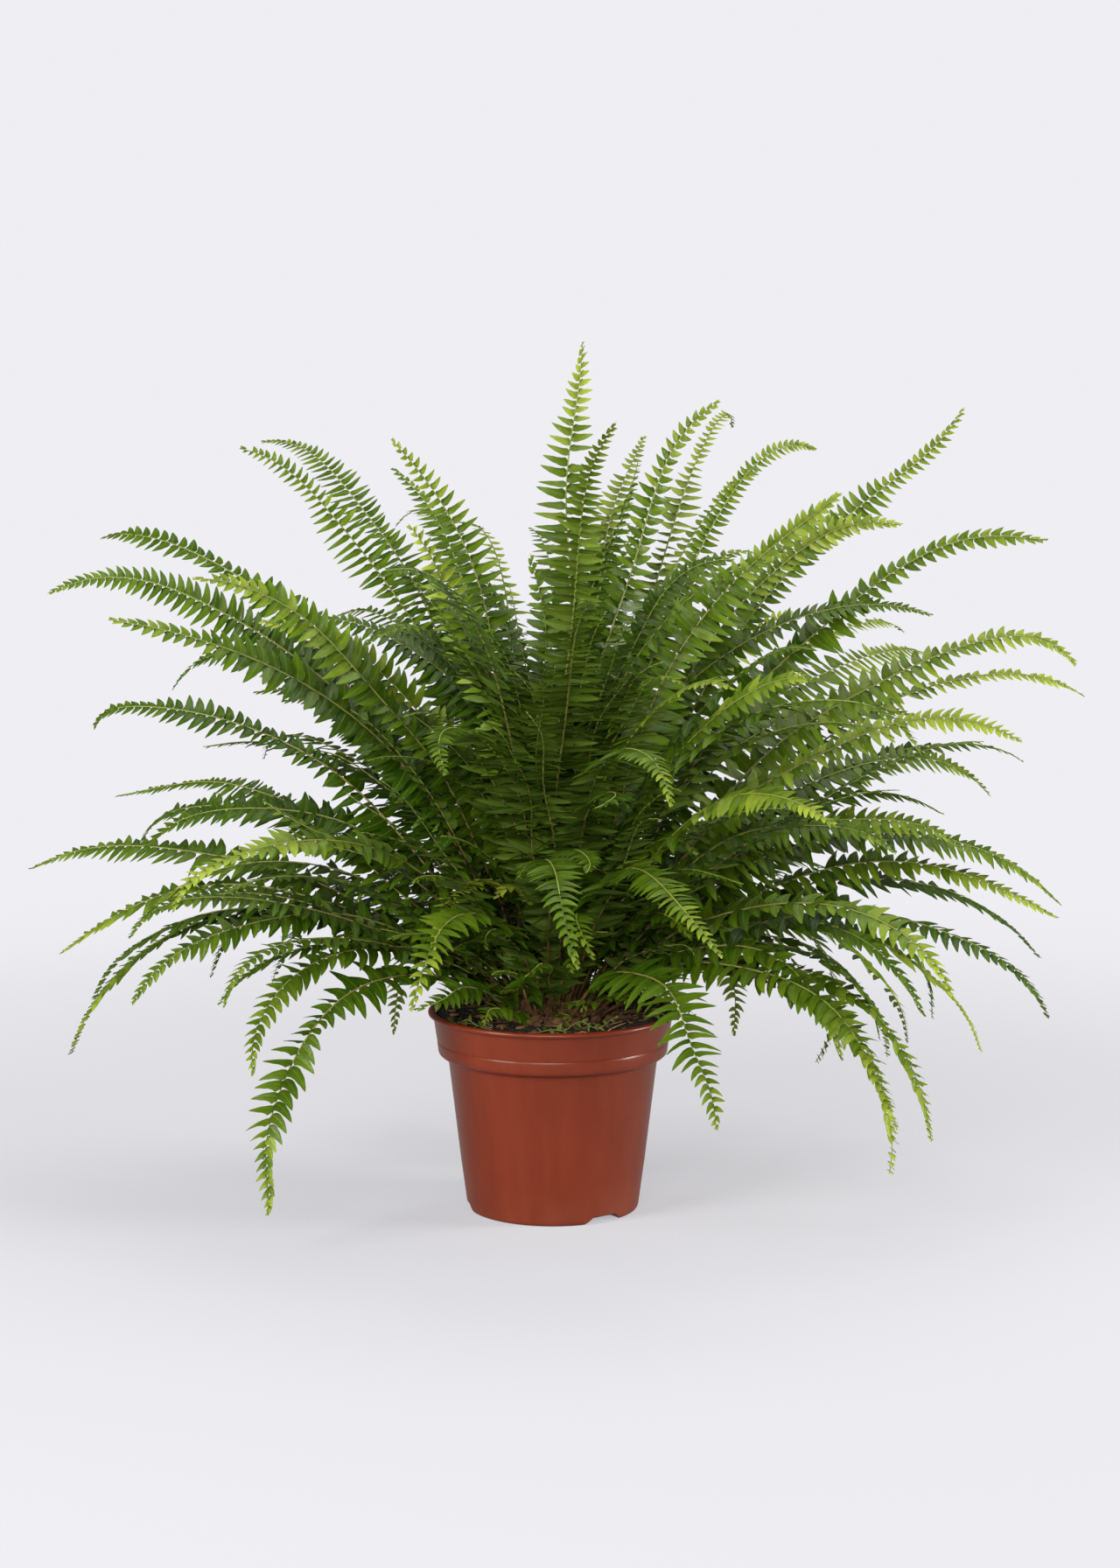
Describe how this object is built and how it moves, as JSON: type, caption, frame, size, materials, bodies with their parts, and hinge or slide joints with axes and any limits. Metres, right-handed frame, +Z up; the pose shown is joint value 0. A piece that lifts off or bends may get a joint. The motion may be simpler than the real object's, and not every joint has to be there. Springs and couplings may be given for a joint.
{
  "type": "potted fern",
  "caption": "Bushy sword fern with long arching feathery fronds, growing in soil in a round terracotta-coloured plastic nursery pot.",
  "frame": {"origin": "middle of the pot's flat underside, on the surface that the pot stands on", "axes": "+Z up along the pot's axis, +X to the right along the plant's widest spread, -Y the plant's front"},
  "size_m": [0.9358, 0.8264, 0.7248],
  "materials": {
    "pot_plastic": "satin moulded plastic",
    "potting_soil": "damp crumbly peat with bark",
    "rhizome": "dry scaly stem",
    "fronds": "thin leaf, soft sheen"
  },
  "bodies": {
    "root": {"pot": "pot_plastic", "soil": "potting_soil", "crown": "rhizome", "runner": "rhizome", "upright_frond_01": "fronds", "upright_frond_02": "fronds", "upright_frond_03": "fronds", "upright_frond_04": "fronds", "upright_frond_05": "fronds", "upright_frond_06": "fronds", "upright_frond_07": "fronds", "upright_frond_08": "fronds", "upright_frond_09": "fronds", "upright_frond_10": "fronds", "upright_frond_11": "fronds", "upright_frond_12": "fronds", "upright_frond_13": "fronds", "upright_frond_14": "fronds", "arching_frond_01": "fronds", "arching_frond_02": "fronds", "arching_frond_03": "fronds", "arching_frond_04": "fronds", "arching_frond_05": "fronds", "arching_frond_06": "fronds", "arching_frond_07": "fronds", "arching_frond_08": "fronds", "arching_frond_09": "fronds", "arching_frond_10": "fronds", "arching_frond_11": "fronds", "arching_frond_12": "fronds", "arching_frond_13": "fronds", "arching_frond_14": "fronds", "arching_frond_15": "fronds", "arching_frond_16": "fronds", "arching_frond_17": "fronds", "spreading_frond_01": "fronds", "spreading_frond_02": "fronds", "spreading_frond_03": "fronds", "spreading_frond_04": "fronds", "spreading_frond_05": "fronds", "spreading_frond_06": "fronds", "spreading_frond_07": "fronds", "spreading_frond_08": "fronds", "spreading_frond_09": "fronds", "spreading_frond_10": "fronds", "spreading_frond_11": "fronds", "spreading_frond_12": "fronds", "spreading_frond_13": "fronds", "spreading_frond_14": "fronds", "spreading_frond_15": "fronds", "hanging_frond_01": "fronds", "hanging_frond_02": "fronds", "hanging_frond_03": "fronds", "hanging_frond_04": "fronds", "hanging_frond_05": "fronds", "hanging_frond_06": "fronds", "hanging_frond_07": "fronds", "hanging_frond_08": "fronds", "hanging_frond_09": "fronds", "hanging_frond_10": "fronds"}
  },
  "joints": []
}
